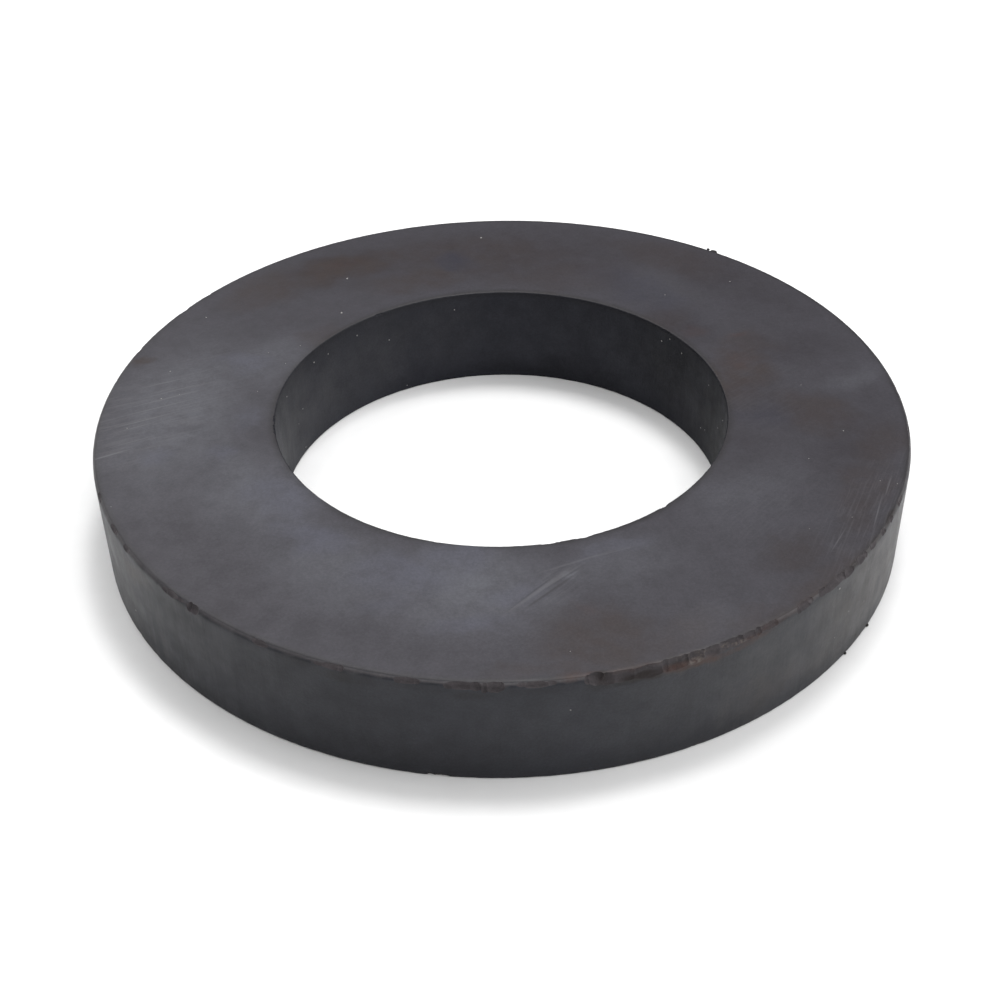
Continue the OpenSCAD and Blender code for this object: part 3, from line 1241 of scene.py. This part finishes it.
@dataclass(frozen=True)
class Speck:
    """A speck of dust on the upper face.

    Attributes:
        x_mm: Where it lies.
        y_mm: Where it lies.
        long_mm: Its length.
        turn: Angle of its length, in degrees from +X.
    """

    x_mm: float
    y_mm: float
    long_mm: float = 0.11
    turn: float = 0.0

    def lie(self, size: RingSize) -> tuple[Vector, Point3]:
        """Give the speck's middle and its turn, as an Euler angle."""
        return Vector((self.x_mm * MM, self.y_mm * MM, size.height)), (0.0, 0.0, math.radians(self.turn))


@dataclass(frozen=True)
class WallSpeck:
    """A speck of dust or a stuck crumb on one of the two walls.

    Attributes:
        angle: Where it is round the ring, in degrees.
        height_mm: How high it is.
        long_mm: Its length along the wall.
        in_bore: Whether it lies on the bore's wall.
    """

    angle: float
    height_mm: float
    long_mm: float = 0.12
    in_bore: bool = False

    def lie(self, size: RingSize) -> tuple[Vector, Point3]:
        """Give the speck's middle and its turn, as an Euler angle."""
        radius = size.bore_r if self.in_bore else size.outer_r
        middle = on_wheel(radius, self.angle, self.height_mm * MM)
        return middle, (0.0, math.pi / 2, math.radians(self.angle))


FACE_DUST = [
    Speck(-34.1, 7.2, 0.16), Speck(33.1, -5.6, 0.14), Speck(-17.1, 26.1, 0.34, 80),
    Speck(-21.1, 11.8, 0.13), Speck(-17.2, 18.5, 0.36, 88), Speck(-34.2, 2.1, 0.15, 20),
    Speck(29.0, -10.1, 0.12), Speck(30.3, 2.6, 0.11), Speck(-31.9, 18.0, 0.16, 140),
    Speck(-36.7, -3.1, 0.14, 20), Speck(-24.3, 10.5, 0.12), Speck(31.4, -19.2, 0.11),
    Speck(18.3, 21.2, 0.13, 60), Speck(-22.3, 8.3, 0.10), Speck(25.8, 23.9, 0.16, 80),
    Speck(-32.5, 2.8, 0.11), Speck(36.5, -14.3, 0.12, 80), Speck(-24.6, 3.1, 0.10),
    Speck(35.0, -13.8, 0.11), Speck(5.3, -36.3, 0.10), Speck(-35.9, -15.8, 0.10),
    Speck(-2.0, 35.3, 0.30, 75), Speck(27.3, -20.8, 0.10),
]
WALL_DUST = [
    WallSpeck(316.2, 9.75, 0.24), WallSpeck(212.2, 3.1, 0.20), WallSpeck(319.6, 5.6, 0.14),
    WallSpeck(316.8, 3.8, 0.11), WallSpeck(324.1, 4.6, 0.10), WallSpeck(277.5, 7.6, 0.14),
    WallSpeck(333.6, 3.8, 0.10),
]
BORE_DUST = into_bore(
    WallSpeck(159.9, 0.7, 0.16), WallSpeck(18.7, 2.7, 0.16), WallSpeck(16.1, 3.1, 0.14),
    WallSpeck(102.9, 9.1, 0.17), WallSpeck(133.7, 9.4, 0.18), WallSpeck(30.7, 9.4, 0.16),
    WallSpeck(168.4, 9.3, 0.15), WallSpeck(159.3, 5.5, 0.14), WallSpeck(145.1, 9.2, 0.14),
    WallSpeck(1.5, 8.1, 0.14), WallSpeck(118.3, 0.6, 0.13), WallSpeck(6.4, 5.9, 0.14),
    WallSpeck(39.1, 9.3, 0.20), WallSpeck(151.4, 9.5, 0.18), WallSpeck(36.0, 10.1, 0.18),
    WallSpeck(123.1, 7.2, 0.14), WallSpeck(162.5, 4.4, 0.11), WallSpeck(15.8, 8.8, 0.12),
)
CRUMBS = [
    WallSpeck(327.1, 0.15, 0.45), WallSpeck(320.5, 0.12, 0.34), WallSpeck(51.5, 10.72, 0.85),
    WallSpeck(52.6, 10.78, 0.40),
]


@dataclass
class Dirt:
    """Specks of dust and stuck crumbs, each kind joined into one piece.

    Attributes:
        size: The ring's sizes.
        seed: Start of the random draws for the specks' shapes.
        seeds: How many shapes a speck can have.
        narrow_mm: Width that a speck of no length would have.
        widening: How much wider a speck is for each part of its length.
        thinnest_mm: Half the thickness that a speck has at least.
        ragged: How far a speck's corners stray, as a share of its width.
    """

    size: RingSize
    seed: int = 5
    seeds: int = 10_000
    narrow_mm: float = 0.14
    widening: float = 0.2
    thinnest_mm: float = 0.05
    ragged: float = 0.08

    def grain(self, speck: Speck | WallSpeck, flat: float, dice: random.Random) -> bpy.types.Object:
        """Model one speck as a small lumpy ball.

        Args:
            speck: The speck.
            flat: Half its thickness, as a share of its width.
            dice: The source of its shape.

        Returns:
            The ball, at its place.
        """
        middle, turn = speck.lie(self.size)
        wide = min(speck.long_mm, self.narrow_mm + self.widening * speck.long_mm)
        halves = (speck.long_mm * MM / 2, wide * MM / 2, max(flat * wide, self.thinnest_mm) * MM)
        if isinstance(speck, WallSpeck):
            halves = (halves[1], halves[0], halves[2])
        ball = add_ball(middle, turn, halves, divisions=2)
        with open_mesh():
            bpy.ops.transform.vertex_random(offset=self.ragged * wide * MM, seed=dice.randrange(self.seeds))
        return ball

    def scatter(self, name: str, specks: Iterable[Speck | WallSpeck], flat: float,
                finish: PlainFinish) -> bpy.types.Object:
        """Lay specks down and join them.

        Args:
            name: The piece's name.
            specks: The specks.
            flat: Half their thickness, as a share of their width.
            finish: Their finish.

        Returns:
            The joined piece, riding on the part's body.
        """
        dice = random.Random(self.seed)
        piece = join([self.grain(speck, flat, dice) for speck in specks])
        piece.name = name
        piece.data.name = name
        piece.data.materials.append(finish.build())
        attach(piece, BODY)
        return piece

    def build(self) -> list[bpy.types.Object]:
        """Lay the dust and the crumbs, and return the two pieces."""
        dust = PlainFinish("dust", (0.24, 0.235, 0.23), grain_mm=0.1, roughness=0.9)
        crumb = PlainFinish("crumb", (0.022, 0.020, 0.020), grain_mm=0.2, roughness=0.6)
        return [
            self.scatter("dust_specks", [*FACE_DUST, *WALL_DUST, *BORE_DUST], 0.3, dust),
            self.scatter("stuck_crumbs", CRUMBS, 0.7, crumb),
        ]


# ---------------------------------------------------------------------------------------------
# Floor, lights and camera
# ---------------------------------------------------------------------------------------------


@dataclass(frozen=True)
class SoftBox:
    """A large soft light that faces the ring.

    Attributes:
        name: The light's name.
        azimuth: Side that it stands on, in degrees from +X.
        elevation: Its height above the floor, in degrees.
        power: Its power, in watts.
        distance: How far off it stands, in metres.
        width: Its width, in metres.
        depth: Its other side, in metres.
    """

    name: str
    azimuth: float
    elevation: float
    power: float
    distance: float = 1.0
    width: float = 0.8
    depth: float = 0.5

    def hang(self) -> None:
        """Put the light in its place, turned to the ring."""
        data = bpy.data.lights.new(self.name, "AREA")
        data.shape = "RECTANGLE"
        data.size = self.width
        data.size_y = self.depth
        data.energy = self.power
        lamp = bpy.data.objects.new(self.name, data)
        bpy.context.scene.collection.objects.link(lamp)
        lamp.location = aloft(self.distance, self.azimuth, self.elevation)
        lamp.rotation_mode = "QUATERNION"
        lamp.rotation_quaternion = (-lamp.location).to_track_quat("-Z", "Y")


SENSOR_MM = 36.0  # width of the camera's sensor


def swing(first: Vector, second: Vector, angle: float) -> tuple[Vector, Vector]:
    """Turn two perpendicular directions in their plane by degrees, the first towards the second."""
    turn = math.radians(angle)
    across, along = math.sin(turn), math.cos(turn)
    return first * along + second * across, second * along - first * across


@dataclass(frozen=True)
class Viewpoint:
    """Where the camera stands, on the side of -Y, and how it is held.

    Attributes:
        distance: From the middle of the ring's lower face, in metres.
        elevation: Height above the floor, in degrees.
        yaw: Turn to the right, in degrees.
        pitch: Turn upwards, in degrees.
        roll: Turn about the line of sight, in degrees.
        lens: Focal length in millimetres.
    """

    distance: float
    elevation: float
    yaw: float
    pitch: float
    roll: float
    lens: float

    def set_up(self) -> None:
        """Put the camera in place and make it the scene's own."""
        data = bpy.data.cameras.new("camera")
        data.lens = self.lens
        data.sensor_width = SENSOR_MM
        data.clip_start = 0.01
        data.clip_end = 20.0
        camera = bpy.data.objects.new("camera", data)
        bpy.context.scene.collection.objects.link(camera)
        place = aloft(self.distance, -90.0, self.elevation)
        ahead = (-place).normalized()
        right = Vector((1.0, 0.0, 0.0))
        up = right.cross(ahead)
        ahead, right = swing(ahead, right, self.yaw)
        ahead, up = swing(ahead, up, self.pitch)
        right, up = swing(right, up, self.roll)
        turn = Matrix((right, up, -ahead)).transposed().to_4x4()
        camera.matrix_world = Matrix.Translation(place) @ turn
        bpy.context.scene.camera = camera


@dataclass(frozen=True)
class Studio:
    """The plain pale floor, the soft lights and the camera.

    Attributes:
        floor_half: Half the floor's side, in metres.
        paper: The floor's finish.
        view: Where the camera stands.
        boxes: The lights.
    """

    floor_half: float = 2.0
    paper: PlainFinish = PlainFinish("floor_paper", (0.84, 0.84, 0.84), grain_mm=4.0, roughness=0.9,
                                     spread=0.01)
    view: Viewpoint = Viewpoint(distance=0.16356, elevation=36.8604, yaw=-0.0918, pitch=-0.2901,
                                roll=-0.9653, lens=56.714)
    boxes: tuple[SoftBox, ...] = (
        SoftBox("right_middle", 0, 32, 2.3),
        SoftBox("right_high", 0, 58, 3.6),
        SoftBox("back_left_middle", 135, 32, 2.6),
        SoftBox("back_left_high", 135, 58, 2.7),
        SoftBox("front_high", 270, 58, 3.6),
        SoftBox("front_right_low", 315, 10, 1.4),
        SoftBox("back_high", 90, 58, 1.5),
        SoftBox("overhead", 90, 85, 1.0),
        SoftBox("key", 66, 73, 4.2, width=0.22, depth=0.22),
    )

    def build_floor(self) -> None:
        """Lay the floor and give it its finish."""
        clear_selection()
        bpy.ops.mesh.primitive_grid_add(x_subdivisions=4, y_subdivisions=4, size=2 * self.floor_half)
        floor = bpy.context.object
        floor.name = "floor"
        floor.data.materials.append(self.paper.build())

    def build(self) -> None:
        """Set up the whole studio, in which the soft boxes give all the light."""
        self.build_floor()
        for box in self.boxes:
            box.hang()
        world = bpy.data.worlds.new("studio")
        world.use_nodes = True
        world.node_tree.nodes["Background"].inputs["Strength"].default_value = 0.0
        bpy.context.scene.world = world
        bpy.context.scene.view_settings.view_transform = "Standard"
        self.view.set_up()


def main() -> None:
    """Build the studio and the ring, and report each piece."""
    logging.basicConfig(level=logging.INFO, format="%(name)s: %(message)s")
    Studio().build()
    size = RingSize.from_frame()
    pieces = [FerriteRing(size).build(), *Dirt(size).build()]
    for piece in pieces:
        LOG.info("%s has %d faces", piece.name, len(piece.data.polygons))


if __name__ == "__main__":
    main()
